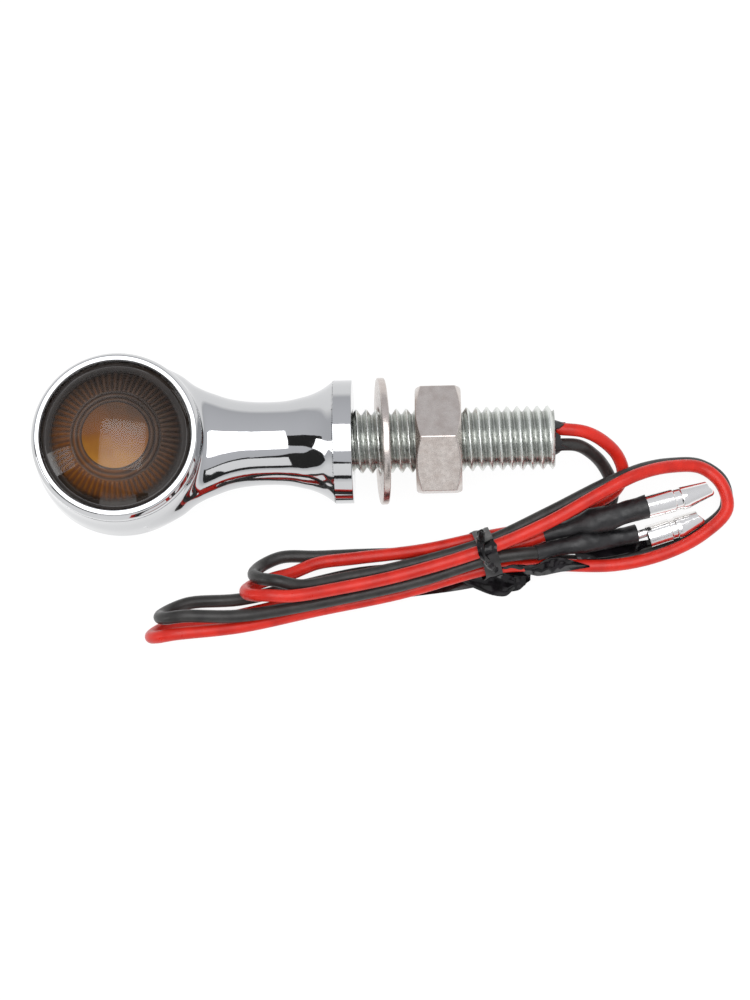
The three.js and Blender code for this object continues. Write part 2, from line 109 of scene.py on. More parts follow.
class Shader:
    """A Principled surface in node form, and the textures that feed it, in the object's own coordinates."""

    def __init__(self, name, colour, roughness, metallic=0.0, **sockets):
        self.material = bpy.data.materials.new(name)
        self.material.use_nodes = True
        self.nodes = self.material.node_tree.nodes
        self.links = self.material.node_tree.links
        self.surface = self.nodes["Principled BSDF"]
        self.coordinates = self.nodes.new("ShaderNodeTexCoord").outputs["Object"]
        self.height = None
        self.set("Base Color", (*colour, 1))
        self.set("Roughness", roughness)
        self.set("Metallic", metallic)
        for socket, value in sockets.items():
            self.set(socket.replace("_", " "), value)

    def set(self, socket, value):
        self.surface.inputs[socket].default_value = value

    def feed(self, output, socket):
        self.links.new(output, self.surface.inputs[socket])

    def math(self, operation, *values):
        node = self.nodes.new("ShaderNodeMath")
        node.operation = operation
        for value, socket in zip(values, node.inputs):
            if isinstance(value, (int, float)):
                socket.default_value = value
            else:
                self.links.new(value, socket)
        return node.outputs[0]

    def scaled(self, stretch):
        node = self.nodes.new("ShaderNodeVectorMath")
        node.operation = "MULTIPLY"
        self.links.new(self.coordinates, node.inputs[0])
        node.inputs[1].default_value = stretch
        return node.outputs[0]

    def noise(self, size, detail=2.0, stretch=(1, 1, 1)):
        """Noise whose lumps are about size millimetres across, smaller along an axis that is stretched."""
        node = self.nodes.new("ShaderNodeTexNoise")
        self.links.new(self.scaled(stretch), node.inputs["Vector"])
        node.inputs["Scale"].default_value = 1 / (size * MM)
        node.inputs["Detail"].default_value = detail
        return node.outputs["Fac"]

    def ramp(self, value, *stops):
        """stops are (position, colour)."""
        node = self.nodes.new("ShaderNodeValToRGB")
        self.links.new(value, node.inputs["Fac"])
        marks = node.color_ramp.elements
        while len(marks) < len(stops):
            marks.new(0.5)
        for mark, (position, colour) in zip(marks, stops):
            mark.position = position
            mark.color = (*colour, 1)
        return node.outputs["Color"]

    def span(self, value, low, high, to_low, to_high):
        node = self.nodes.new("ShaderNodeMapRange")
        self.links.new(value, node.inputs["Value"])
        for socket, number in zip(("From Min", "From Max", "To Min", "To Max"), (low, high, to_low, to_high)):
            node.inputs[socket].default_value = number
        return node.outputs["Result"]

    def apart(self, centre):
        """The three coordinates, in millimetres from a centre."""
        shifted = self.nodes.new("ShaderNodeVectorMath")
        shifted.operation = "SUBTRACT"
        self.links.new(self.coordinates, shifted.inputs[0])
        shifted.inputs[1].default_value = Vector(centre) * MM
        grown = self.nodes.new("ShaderNodeVectorMath")
        grown.operation = "SCALE"
        self.links.new(shifted.outputs[0], grown.inputs[0])
        grown.inputs["Scale"].default_value = 1 / MM
        node = self.nodes.new("ShaderNodeSeparateXYZ")
        self.links.new(grown.outputs[0], node.inputs[0])
        return node.outputs["X"], node.outputs["Y"], node.outputs["Z"]

    def length(self, a, b):
        return self.math("SQRT", self.math("ADD", self.math("MULTIPLY", a, a), self.math("MULTIPLY", b, b)))

    def bump(self, value, depth, strength=1.0):
        """Relief of about depth millimetres."""
        node = self.nodes.new("ShaderNodeBump")
        node.inputs["Distance"].default_value = depth * MM
        node.inputs["Strength"].default_value = strength
        self.links.new(value, node.inputs["Height"])
        if self.height:
            self.links.new(self.height, node.inputs["Normal"])
        self.height = node.outputs["Normal"]
        self.feed(self.height, "Normal")

    def vary_roughness(self, value, low, high):
        self.feed(self.span(value, 0.3, 0.7, low, high), "Roughness")


def chrome():
    s = Shader("chrome", (0.56, 0.565, 0.575), 0.05, metallic=1.0)
    s.vary_roughness(s.noise(1.5, 4), 0.03, 0.07)
    s.bump(s.noise(0.9, 3), 0.003)
    s.bump(s.noise(0.12, 2), 0.0006)
    return s.material


def zinc():
    s = Shader("zinc", (0.62, 0.64, 0.61), 0.3, metallic=1.0)
    # Painted shade: the thread's roots are painted darker and its crests lighter, by distance from the stem's
    # axis. Here worn is that painted shade plus a random stain, not wear.
    _, y, z = s.apart((0, 0, STEM_Z))
    depth = s.length(y, z)
    stain = s.math("MULTIPLY", s.noise(0.5, 4), 0.25)
    worn = s.math("ADD", s.span(depth, THREAD_ROOT, THREAD_R, 0.05, 0.75), stain)
    s.feed(s.ramp(worn, (0.1, (0.36, 0.37, 0.35)), (0.5, (0.6, 0.62, 0.59)), (0.95, (0.78, 0.8, 0.77))),
           "Base Color")
    s.vary_roughness(s.noise(0.4, 4), 0.2, 0.4)
    s.bump(s.noise(0.25, 3), 0.012)
    return s.material


def nickel():
    s = Shader("nickel", (0.6, 0.54, 0.51), 0.28, metallic=1.0)
    s.feed(s.ramp(s.noise(1.2, 4), (0.3, (0.53, 0.47, 0.44)), (0.7, (0.64, 0.59, 0.56))), "Base Color")
    s.vary_roughness(s.noise(0.5, 4), 0.2, 0.34)
    s.bump(s.noise(0.35, 3, (0.12, 1, 1)), 0.008)
    s.bump(s.noise(0.15, 3), 0.004)
    return s.material


def tinned():
    s = Shader("tinned", (0.88, 0.87, 0.86), 0.12, metallic=1.0)
    s.vary_roughness(s.noise(0.6, 3), 0.08, 0.2)
    s.bump(s.noise(0.5, 2), 0.012)
    return s.material


def pvc(name, dark, light, roughness):
    s = Shader(name, light, roughness, Specular_IOR_Level=0.35)
    s.feed(s.ramp(s.noise(2.2, 4), (0.3, dark), (0.65, light)), "Base Color")
    s.vary_roughness(s.noise(0.8, 3), roughness - 0.06, roughness + 0.1)
    s.bump(s.noise(0.5, 3), 0.01)
    return s.material


def sleeving():
    s = Shader("sleeving", (0.012, 0.012, 0.013), 0.42)
    s.feed(s.ramp(s.noise(1.4, 4), (0.35, (0.006, 0.006, 0.007)), (0.75, (0.022, 0.021, 0.022))),
           "Base Color")
    s.vary_roughness(s.noise(0.7, 3), 0.34, 0.55)
    s.bump(s.noise(0.8, 4), 0.03)
    return s.material


def ribbon():
    s = Shader("ribbon", (0.004, 0.003, 0.004), 0.15, Specular_IOR_Level=0.32)
    s.feed(s.ramp(s.noise(1.6, 3), (0.35, (0.002, 0.002, 0.002)), (0.7, (0.009, 0.007, 0.009))), "Base Color")
    s.vary_roughness(s.noise(0.9, 3), 0.09, 0.22)
    s.bump(s.noise(1.2, 2), 0.02)
    return s.material


def smoked_lens():
    """Smoked acrylic. Its upright edge is seen through more material, so it is darker there."""
    s = Shader("smoked_lens", (0.018, 0.012, 0.009), 0.02, IOR=1.62)
    x, y, _ = s.apart((HEAD.x, HEAD.y, 0))
    edge = s.length(x, y)
    s.feed(s.span(edge, 7.7, 8.4, 0.26, 0.88), "Alpha")
    s.feed(s.ramp(s.noise(3, 3), (0.3, (0.012, 0.008, 0.006)), (0.7, (0.026, 0.018, 0.013))), "Base Color")
    s.bump(s.noise(4, 2), 0.004)
    return s.material


def amber_lens():
    """Amber acrylic with radial flutes and turned rings, with painted light and shade: brighter towards -x and -y
    and in the centre disc towards -y, lighter and darker along the flutes and rings.
    """
    s = Shader("amber_lens", (0.75, 0.26, 0.04), 0.2, IOR=1.49)
    x, y, _ = s.apart((HEAD.x, HEAD.y, 0))
    out = s.length(x, y)
    turn = s.math("ARCTAN2", y, x)
    flute = s.math("SINE", s.math("MULTIPLY", turn, FLUTES))
    in_flutes = s.math("GREATER_THAN", out, FLUTE_IN)
    in_disc = s.math("LESS_THAN", out, DISC_R)
    in_rings = s.math("SUBTRACT", s.math("SUBTRACT", 1.0, in_flutes), in_disc)
    # Painted shade: the flutes and the turned rings are painted lighter and darker in step with their relief, and
    # the rings darker overall.
    flutes = s.math("MULTIPLY", s.math("MULTIPLY", flute, in_flutes), 0.13)
    ring = s.math("SINE", s.math("MULTIPLY", out, 2 * math.pi / RING_STEP))
    rings = s.math("MULTIPLY", s.math("SUBTRACT", s.math("MULTIPLY", ring, 0.14), 0.12), in_rings)
    # Painted light: glow makes the lens brighter towards -x and -y, and painted_disc_light makes the centre disc
    # brighter towards -y.
    slant = s.math("MULTIPLY", s.math("ADD", x, s.math("MULTIPLY", y, 1.3)), -1.0)
    glow = s.span(slant, -11, 11, 0.12, 0.62)
    painted_disc_light = s.math("MULTIPLY", in_disc, s.span(y, -3.5, 2.5, 0.5, 0.12))
    grain = s.math("MULTIPLY", s.math("SUBTRACT", s.noise(1.6, 4), 0.5), 0.3)
    shade = s.math("ADD", s.math("ADD", glow, s.math("ADD", flutes, rings)), s.math("ADD", painted_disc_light, grain))
    s.feed(s.ramp(shade, (0.05, (0.06, 0.038, 0.028)), (0.35, (0.23, 0.13, 0.08)), (0.65, (0.5, 0.17, 0.035)),
                  (1.0, (0.95, 0.4, 0.05))), "Base Color")
    s.bump(s.noise(0.6, 2), 0.01)
    return s.material


def plain(name, colour, roughness, metallic=0.0, grain=0.6):
    """A finish for the small hidden pieces, with mottled colour and a fine grain."""
    s = Shader(name, colour, roughness, metallic)
    s.feed(s.ramp(s.noise(grain * 2, 3), (0.3, tuple(0.7 * c for c in colour)), (0.7, colour)), "Base Color")
    s.vary_roughness(s.noise(grain, 3), roughness * 0.8, roughness * 1.2)
    s.bump(s.noise(grain / 3, 3), 0.008)
    return s.material


FINISHES = {
    "chrome": chrome(),
    "zinc": zinc(),
    "nickel": nickel(),
    "tinned": tinned(),
    "red_pvc": pvc("red_pvc", (0.5, 0.014, 0.007), (0.68, 0.024, 0.012), 0.32),
    "black_pvc": pvc("black_pvc", (0.018, 0.017, 0.016), (0.04, 0.038, 0.036), 0.36),
    "sleeving": sleeving(),
    "tie_ribbon": ribbon(),
    "smoked_lens": smoked_lens(),
    "amber_lens": amber_lens(),
    "bulb_amber": plain("bulb_amber", (0.8, 0.3, 0.03), 0.12),
    "reflector_silver": plain("reflector_silver", (0.8, 0.8, 0.8), 0.12, 1.0),
    "brass": plain("brass", (0.72, 0.5, 0.2), 0.3, 1.0),
    "spring_steel": plain("spring_steel", (0.5, 0.5, 0.52), 0.3, 1.0),
    "phenolic": plain("phenolic", (0.11, 0.045, 0.02), 0.55),
    "seal_rubber": plain("seal_rubber", (0.012, 0.012, 0.012), 0.7),
}

# ---- making pieces ----

TIP_R = 0.01  # a turned profile that closes on its axis stops here
SAME_PLACE = 1e-4



def grid(points, wrap_rows=False, wrap_columns=True):
    """The corners and quads of a grid of points, an array of rows x columns x 3."""
    rows, columns = points.shape[:2]
    faces = []
    for i in range(rows if wrap_rows else rows - 1):
        for j in range(columns if wrap_columns else columns - 1):
            down, right = (i + 1) % rows, (j + 1) % columns
            faces.append((i * columns + j, i * columns + right, down * columns + right, down * columns + j))
    return points.reshape(-1, 3), faces


def joined(*pieces):
    """The corners and faces of several pieces as one."""
    vertices, faces = [], []
    for corners, quads in pieces:
        faces += [tuple(i + len(vertices) for i in quad) for quad in quads]
        vertices += list(corners)
    return np.array(vertices), faces


def make_piece(name, vertices, faces, slot, nodes=(), body="signal", sharp=None):
    """A mesh piece from points in millimetres. Edges that turn by more than sharp degrees stay crisp."""
    mesh = bpy.data.meshes.new(name)
    mesh.from_pydata([tuple(v) for v in np.asarray(vertices) * MM], [], faces)
    mesh.validate()
    made = bmesh.new()
    made.from_mesh(mesh)
    bmesh.ops.remove_doubles(made, verts=made.verts, dist=SAME_PLACE * MM)
    bmesh.ops.recalc_face_normals(made, faces=made.faces)
    made.to_mesh(mesh)
    made.free()
    mesh.shade_smooth()
    if sharp is not None:
        mesh.set_sharp_from_angle(angle=math.radians(sharp))
    return keep(bpy.data.objects.new(name, mesh), slot, nodes, body)


def keep(obj, slot, nodes=(), body="signal"):
    """Links a piece, with its finish, the frame's nodes that it replaces and the body that it rides on."""
    bpy.context.scene.collection.objects.link(obj)
    obj.data.materials.append(FINISHES[slot])
    if nodes:
        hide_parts(*nodes)
    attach(obj, body)
    return obj


def circle(count):
    """The angles of that many points round a circle."""
    return 2 * np.pi * np.arange(count) / count


def turned(profile, sides):
    """Points of a profile of (radius, height), turned about the z axis."""
    profile = np.asarray(profile, float)
    angle = circle(sides)
    return np.stack([profile[:, :1] * np.cos(angle), profile[:, :1] * np.sin(angle),
                     np.repeat(profile[:, 1:], sides, axis=1)], axis=-1)


def placed(points, matrix):
    """The points moved by a matrix."""
    turn, move = np.array(matrix.to_3x3()), np.array(matrix.translation)
    return points @ turn.T + move


ALONG_X = Matrix.Rotation(math.pi / 2, 4, "Y")  # what is turned about z, turned about the stem's x instead


def at(x, y, z):
    return Matrix.Translation((x, y, z))


def rounded(corners, radius, steps=5):
    """A line through (radius, height) corners with each inner corner rounded off."""
    corners = [np.array(c, float) for c in corners]
    line = [corners[0]]
    for before, corner, after in zip(corners, corners[1:], corners[2:]):
        to_before, to_after = before - corner, after - corner
        reach = min(radius, np.linalg.norm(to_before) / 2, np.linalg.norm(to_after) / 2)
        a = corner + to_before / np.linalg.norm(to_before) * reach
        b = corner + to_after / np.linalg.norm(to_after) * reach
        for t in np.linspace(0, 1, steps + 1):
            line.append((1 - t) ** 2 * a + 2 * t * (1 - t) * corner + t * t * b)
    line.append(corners[-1])
    return line


def through(points, per_span=8):
    """Centripetal Catmull-Rom through the points, per_span steps between each two."""
    points = np.array(points, float)
    ends = [2 * points[0] - points[1], *points, 2 * points[-1] - points[-2]]
    line = []
    for p0, p1, p2, p3 in zip(ends, ends[1:], ends[2:], ends[3:]):
        t = np.cumsum([0, *(np.sqrt(np.linalg.norm(b - a)) for a, b in ((p0, p1), (p1, p2), (p2, p3)))])
        for s in t[1] + (t[2] - t[1]) * np.arange(per_span) / per_span:
            a1 = (t[1] - s) / (t[1] - t[0]) * p0 + (s - t[0]) / (t[1] - t[0]) * p1
            a2 = (t[2] - s) / (t[2] - t[1]) * p1 + (s - t[1]) / (t[2] - t[1]) * p2
            a3 = (t[3] - s) / (t[3] - t[2]) * p2 + (s - t[2]) / (t[3] - t[2]) * p3
            b1 = (t[2] - s) / (t[2] - t[0]) * a1 + (s - t[0]) / (t[2] - t[0]) * a2
            b2 = (t[3] - s) / (t[3] - t[1]) * a2 + (s - t[1]) / (t[3] - t[1]) * a3
            line.append((t[2] - s) / (t[2] - t[1]) * b1 + (s - t[1]) / (t[2] - t[1]) * b2)
    line.append(points[-1])
    return np.array(line)


# ---- the leads ----

WIRE_R = 0.8
WIRE_START_X = END_X + 0.2
RED_ROUTE = [
    (WIRE_START_X, 1.05, 8.3), (36.2, 0.7, 7.7), (38.7, -0.3, 6), (40.5, -1.9, 4.1), (41.1, -3.9, 3),
    (40.1, -5.9, 2.8), (37.4, -7.5, 2), (31.5, -9.8, 1.1), (23.1, -11.6, 2.8), (16, -13, 2.9), (7.2, -13.9, 2.8),
    (2.5, -14.4, 2.6), (-0.8, -15.5, 1.9), (-3, -16, 1.6), (-5.4, -16.9, 2.4), (-6.4, -18, 4.7),
    (-5.6, -18.8, 6.9), (-3.3, -19.1, 8), (-0.5, -19.2, 7.8), (5.4, -18.2, 6.8), (12.8, -16.7, 6.3),
    (23.7, -13.6, 6.3), (31.3, -10.5, 6.4), (37.9, -7, 6.7), (42.7, -4.6, 6.2), (47.1, -3.3, 4.2),
    (51, -3.3, 2.8), (53.4, -5.4, 2.8), (54, -8.6, 2.8), (50.9, -11.7, 2.8), (46, -14.1, 2.8),
    (39.7, -15.4, 2.7), (30.9, -15.2, 2.7), (24.3, -15.5, 2.8), (12.7, -18.4, 2.5), (2.7, -20.4, 3.4),
    (-7.1, -22.7, 6.1), (-15, -23.6, 7.4), (-17.3, -23.8, 6.4), (-18.3, -23.4, 4.1), (-17.3, -22.3, 1.9),
    (-15, -21.4, 0.9), (-11.2, -21.2, 0.9), (-1.2, -19.2, 0.9), (7.9, -17.4, 1.3), (14, -16.2, 2.7),
    (23.7, -13.6, 3.1), (29.1, -12.2, 3.2), (31.1, -11.5, 3.3),
]
BLACK_ROUTE = [
    (WIRE_START_X, -0.8, 7.5), (35.3, -0.8, 6.7), (37.4, -1.6, 4.4), (38.9, -2.9, 2.1), (39.8, -4.8, 0.9),
    (39.6, -7.1, 0.9), (36.9, -9.8, 0.9), (31.1, -12, 1.05), (23.4, -12.6, 1.25), (15.3, -13.1, 1.05),
    (7.1, -13.2, 0.9), (2.4, -13.3, 0.9), (-2, -13.3, 1.1), (-4.4, -14.4, 2), (-5.4, -15.8, 4.2),
    (-4.5, -16.7, 6.3), (-2.2, -17.2, 7.2), (0.6, -17.7, 6.3), (5.9, -16.7, 4.9), (12.8, -15.4, 4.5),
    (23.4, -12.6, 4.6), (31.4, -9, 4.5), (38, -5.8, 4.8), (40.8, -4.6, 4.8), (43.5, -3.5, 4.1),
    (47.1, -2.6, 2.2), (51, -2.6, 0.9), (53.7, -4.7, 0.9), (54, -8.1, 0.9), (50.9, -10.9, 0.9),
    (45.9, -13.2, 0.9), (39.6, -14.5, 0.9), (31, -14.4, 1.05), (24, -14.6, 1.25), (16, -15.1, 1.05),
    (7.9, -15.5, 0.9), (-0.1, -17.1, 0.9), (-7.5, -18.6, 1.2), (-13.7, -19, 1.8), (-16.1, -20, 2.8),
    (-17.1, -21.1, 5.1), (-16.1, -21.6, 7.4), (-13.7, -21.5, 8.3), (-7, -21.5, 7.5), (4, -19.5, 5.1),
    (15.3, -17.1, 4.5), (24, -14.6, 4.8), (28.4, -14, 4.6), (30.1, -13.85, 4.3),
]


def make_wire(name, route, slot, node):
    """A lead along a route, and its length."""
    line = through(route)
    curve = bpy.data.curves.new(name, "CURVE")
    curve.dimensions = "3D"
    curve.bevel_depth = WIRE_R * MM
    curve.bevel_resolution = 6
    curve.use_fill_caps = True
    spline = curve.splines.new("POLY")
    spline.points.add(len(line) - 1)
    for point, place in zip(spline.points, line):
        point.co = (*(place * MM), 1)
    spline.use_smooth = True
    length = np.linalg.norm(np.diff(line, axis=0), axis=1).sum()
    return keep(bpy.data.objects.new(name, curve), slot, [node]), length


RED, RED_LENGTH = make_wire("red_lead", RED_ROUTE, "red_pvc", "red_wire")
BLACK, BLACK_LENGTH = make_wire("black_lead", BLACK_ROUTE, "black_pvc", "black_wire")

# ---- the housing: cup, waisted neck and clamping flange ----

CUP_R = 11
CUP_LOW = HEAD_LOW.z - STEM_Z
CUP_BARREL = -1.5  # where the dome of the cup ends
CUP_RIM = RING_LOW.z - STEM_Z - 0.05
LIP_R = 10.45
BARREL_SIDE = [(CUP_BARREL, CUP_R), (1.5, 10.88), (4, 10.57), (CUP_RIM, LIP_R)]  # height over stem, radius
NECK_SIDE = [
    (4, 9.95), (6.2, 9.33), (7.7, 8.6), (8.8, 7.75), (10.3, 6.9), (11.8, 6.3), (13.2, 5.8), (14.7, 5.46),
    (16.2, 5.27), (18.5, 5.18), (20.7, 5.3), (22.2, 5.6), (23.7, 6), (25.2, 6.7), (26.6, 7.69),
]  # distance from the head's axis, half-width
NECK_START = 4
NECK_FLAT = 5.27  # half-height where the neck spreads into the cup
FLANGE_START, FLANGE_R = NECK_SIDE[-1]
WAIST_X = 16.2  # the neck is round from here on
FILLET = 1.0
VOXEL = 0.24
CAVITY_R = 9.4
CAVITY_LOW = -6
SEAT_R = 4.1  # the counterbore round the stud
SEAT_DEPTH = 1
ON_HEAD = at(HEAD.x, HEAD.y, STEM_Z)


def smooth_curve(points, at_x):
    """A cubic through the points with matching slopes, straight on beyond both ends."""
    xs, ys = np.array(points, float).T
    slope = np.gradient(ys, xs)
    i = np.clip(np.searchsorted(xs, at_x) - 1, 0, len(xs) - 2)
    wide = xs[i + 1] - xs[i]
    t = np.clip((at_x - xs[i]) / wide, 0, 1)
    inside = ((2 * t ** 3 - 3 * t ** 2 + 1) * ys[i] + (t ** 3 - 2 * t ** 2 + t) * wide * slope[i]
              + (3 * t ** 2 - 2 * t ** 3) * ys[i + 1] + (t ** 3 - t ** 2) * wide * slope[i + 1])
    return inside + slope[0] * np.minimum(at_x - xs[0], 0) + slope[-1] * np.maximum(at_x - xs[-1], 0)


def cup_value(p):
    """Below 0 inside the cup, above it outside."""
    out = np.hypot(p[:, 0], p[:, 1])
    dome = np.hypot(out / CUP_R, (p[:, 2] - CUP_BARREL) / (CUP_BARREL - CUP_LOW))
    barrel = out / smooth_curve(BARREL_SIDE, np.maximum(p[:, 2], CUP_BARREL))
    return np.where(p[:, 2] < CUP_BARREL, dome, barrel) - 1


def neck_value(p):
    """Below 0 inside the neck, above it outside."""
    half = smooth_curve(NECK_SIDE, np.maximum(p[:, 0], NECK_SIDE[0][0]))
    high = np.where(p[:, 0] < WAIST_X, np.minimum(half, NECK_FLAT), half)
    return np.maximum(np.hypot(p[:, 1] / half, p[:, 2] / high) - 1, (NECK_START - p[:, 0]) / CUP_R)


def slope_of(value, p, step=0.01):
    """How a value grows along x, y and z at each point."""
    return np.stack([(value(p + d) - value(p - d)) / (2 * step) for d in np.eye(3) * step], axis=1)


def distance_from(value, p):
    return value(p) / np.maximum(np.linalg.norm(slope_of(value, p), axis=1), 1e-3)


def housing_distance(p):
    """About the distance to the cup and neck, with a fillet where they meet."""
    a, b = distance_from(cup_value, p), distance_from(neck_value, p)
    share = np.clip(0.5 + (b - a) / (2 * FILLET), 0, 1)
    return b + (a - b) * share - FILLET * share * (1 - share)


def rough_cup():
    dome = [(CUP_R * math.sin(a), CUP_BARREL + (CUP_LOW - CUP_BARREL) * math.cos(a))
            for a in np.linspace(0.05, math.pi / 2, 24)]
    barrel = [(r, z) for z, r in BARREL_SIDE[1:]]
    return turned([(TIP_R, CUP_LOW), *dome, *barrel, (LIP_R, CUP_RIM + 1), (TIP_R, CUP_RIM + 1)], 96)


def rough_neck():
    xs = np.linspace(NECK_START + 1, FLANGE_START + 0.6, 90)
    neck = turned([(TIP_R, xs[0]), *zip(smooth_curve(NECK_SIDE, xs), xs), (TIP_R, xs[-1])], 96)
    neck = neck[..., ::-1].copy()  # turned about x instead of z
    tallest = np.maximum(np.abs(neck[..., 2]).max(axis=1), TIP_R)
    flat = np.where(neck[:, 0, 0] < WAIST_X, np.minimum(1, NECK_FLAT / tallest), 1)
    neck[..., 2] *= flat[:, None]
    return neck


def even_mesh(vertices, faces):
    """The outside of overlapping pieces as one mesh of small even faces."""
    mesh = bpy.data.meshes.new("housing_shell")
    mesh.from_pydata([tuple(v) for v in vertices * MM], [], faces)
    closed = bmesh.new()
    closed.from_mesh(mesh)
    bmesh.ops.remove_doubles(closed, verts=closed.verts, dist=3 * TIP_R * MM)
    bmesh.ops.holes_fill(closed, edges=closed.edges)
    bmesh.ops.recalc_face_normals(closed, faces=closed.faces)
    closed.to_mesh(mesh)
    closed.free()
    rough = bpy.data.objects.new("rough", mesh)
    bpy.context.scene.collection.objects.link(rough)
    remesh = rough.modifiers.new("even", "REMESH")
    remesh.mode = "VOXEL"
    remesh.voxel_size = VOXEL * MM
    even = bpy.data.meshes.new_from_object(rough.evaluated_get(bpy.context.evaluated_depsgraph_get()))
    bpy.data.objects.remove(rough)
    return even


def points_of(mesh):
    return np.array([v.co for v in mesh.vertices]) / MM


def onto_surface(points):
    """The points moved onto the filleted surface, by a few short steps down its slope."""
    for _ in range(5):
        slope = slope_of(housing_distance, points)
        steep = np.maximum((slope ** 2).sum(axis=1), 0.2)
        points = points - slope * np.clip(housing_distance(points) / steep, -0.3, 0.3)[:, None]
    return points


def cut_off(mesh, where, facing, reach):
    """Cuts off what lies past a plane, among the points whose x is under reach."""
    cut = bmesh.new()
    cut.from_mesh(mesh)
    near = {v for v in cut.verts if v.co.x < reach * MM}
    verts = [v for v in cut.verts if v in near]
    edges = [e for e in cut.edges if not near.isdisjoint(e.verts)]
    faces = [f for f in cut.faces if not near.isdisjoint(f.verts)]
    bmesh.ops.bisect_plane(cut, geom=verts + edges + faces, plane_co=Vector(where) * MM, plane_no=facing,
                           clear_outer=True)
    cut.to_mesh(mesh)
    cut.free()


def make_shell():
    """The outside of cup and neck: a fine even mesh whose points are moved onto the filleted surface."""
    shell = even_mesh(*joined(grid(rough_cup()), grid(rough_neck())))
    shell.vertices.foreach_set("co", (onto_surface(points_of(shell)) * MM).ravel())
    cut_off(shell, (0, 0, CUP_RIM), (0, 0, 1), WAIST_X)
    cut_off(shell, (FLANGE_START, 0, 0), (1, 0, 0), FLANGE_START + 2)
    normals = slope_of(housing_distance, points_of(shell))
    normals /= np.linalg.norm(normals, axis=1)[:, None]
    shell.transform(Matrix.Translation(Vector((HEAD.x, HEAD.y, STEM_Z)) * MM))
    shell.shade_smooth()
    shell.normals_split_custom_set_from_vertices([tuple(n) for n in normals])
    keep(bpy.data.objects.new("housing_shell", shell), "chrome", ["housing"])


def make_flange():
    face = FACE_X - HEAD.x
    section = rounded([(FLANGE_R, FLANGE_START), (FLANGE_R, face), (SEAT_R, face),
                       (SEAT_R, face - SEAT_DEPTH)], 0.12)
    flange = placed(turned(section, 160), ON_HEAD @ ALONG_X)
    make_piece("housing_flange", *grid(flange), "chrome", sharp=35)


def make_rim():
    """The cup's lip, and the cavity under the lens."""
    section = rounded([(LIP_R, CUP_RIM - 0.001), (LIP_R - 0.02, CUP_RIM), (CAVITY_R, CUP_RIM), (CAVITY_R, -2),
                       (5, CAVITY_LOW + 0.5), (0, CAVITY_LOW)], 0.1)
    make_piece("housing_rim", *grid(placed(turned(section, 128), ON_HEAD)), "chrome", sharp=35)


make_shell()
make_flange()
make_rim()

# ---- trim ring and lenses ----

RING_TOP = RING_HIGH.z - STEM_Z
RING_INNER_R = 9.9
LENS_R = 9.2
LENS_GAP = 0.07  # between the ring and the dome
LENS_FLANGE_R = 9.7
LENS_SEAT = 6
LENS_RISE = 3.2
LENS_TOP = 10.4
LENS_WALL = 1.1
INNER_R = 7.9
INNER_TOP = 8.2
INNER_RISE = 2.6
INNER_LOW = 4.4
FLUTE_DEPTH = 0.16
RING_DEPTH = 0.09


def cap_height(out, rim_r, top, rise):
    """The height of a spherical cap at a distance from its axis."""
    sphere = (rim_r ** 2 + rise ** 2) / (2 * rise)
    return top - sphere + np.sqrt(sphere ** 2 - np.minimum(out, rim_r) ** 2)


def make_ring():
    """A ring on the cup's lip: a flat top with a short chamfer outside it and the lens's seat inside."""
    low = RING_LOW.z - STEM_Z
    section = rounded([
        (RING_INNER_R, low), (LIP_R, low), (LIP_R, low + 1.15), (LIP_R - 0.34, RING_TOP - 0.2),
        (LIP_R - 0.5, RING_TOP - 0.02), (LIP_R - 0.9, RING_TOP), (LENS_R + 0.18, RING_TOP - 0.01),
        (LENS_R + 0.04, RING_TOP - 0.3), (LENS_R, LENS_SEAT + 0.85), (RING_INNER_R, LENS_SEAT + 0.85),
    ], 0.3, 6)
    ring = placed(turned(section, 160), ON_HEAD)
    make_piece("trim_ring_bright", *grid(ring), "chrome", ["trim_ring"], sharp=50)


def make_outer_lens():
    """A smoked dome of even thickness over a flange that the ring holds down."""
    dome_r = LENS_R - LENS_GAP
    inner = dome_r - LENS_WALL
    outer = [(r, cap_height(r, dome_r, LENS_TOP, LENS_RISE)) for r in np.linspace(TIP_R, dome_r, 30)]
    under = [(r, cap_height(r, inner, LENS_TOP - LENS_WALL, LENS_RISE - 0.5))
             for r in np.linspace(TIP_R, inner, 24)]
    side = [(dome_r + 0.02, LENS_SEAT + 0.8), (LENS_FLANGE_R, LENS_SEAT + 0.8), (LENS_FLANGE_R, LENS_SEAT),
            (inner, LENS_SEAT)]
    dome = placed(turned(outer + side + under[::-1], 128), ON_HEAD)
    make_piece("outer_lens_dome", *grid(dome), "smoked_lens", ["outer_lens"], sharp=35)


def make_inner_lens():
    """The amber lens: a smooth disc, turned rings round it, then radial flutes down to its flange."""
    outs = np.concatenate([np.linspace(TIP_R, DISC_R, 12), np.arange(DISC_R + 0.05, FLUTE_IN, 0.06),
                           np.linspace(FLUTE_IN, INNER_R, 26)])
    angle = circle(FLUTES * 8)
    height = cap_height(outs, INNER_R, INNER_TOP, INNER_RISE)
    rings = (outs > DISC_R) & (outs < FLUTE_IN)
    height = height + np.where(rings, RING_DEPTH * np.sin(2 * np.pi * outs / RING_STEP), 0)
    fade = np.clip((outs - FLUTE_IN) / 0.3, 0, 1) * np.clip((INNER_R - outs) / 0.3 + 0.2, 0, 1)
    rows = height[:, None] + FLUTE_DEPTH * fade[:, None] * np.sin(FLUTES * angle)[None, :]
    top = np.stack([outs[:, None] * np.cos(angle), outs[:, None] * np.sin(angle), rows], axis=-1)
    side = turned([(INNER_R, INNER_LOW + 0.9), (9, INNER_LOW + 0.85), (9, INNER_LOW), (6.9, INNER_LOW)],
                  len(angle))
    lens = placed(np.concatenate([top, side]), ON_HEAD)
    make_piece("inner_lens_fluted", *grid(lens), "amber_lens", ["inner_lens"], sharp=40)


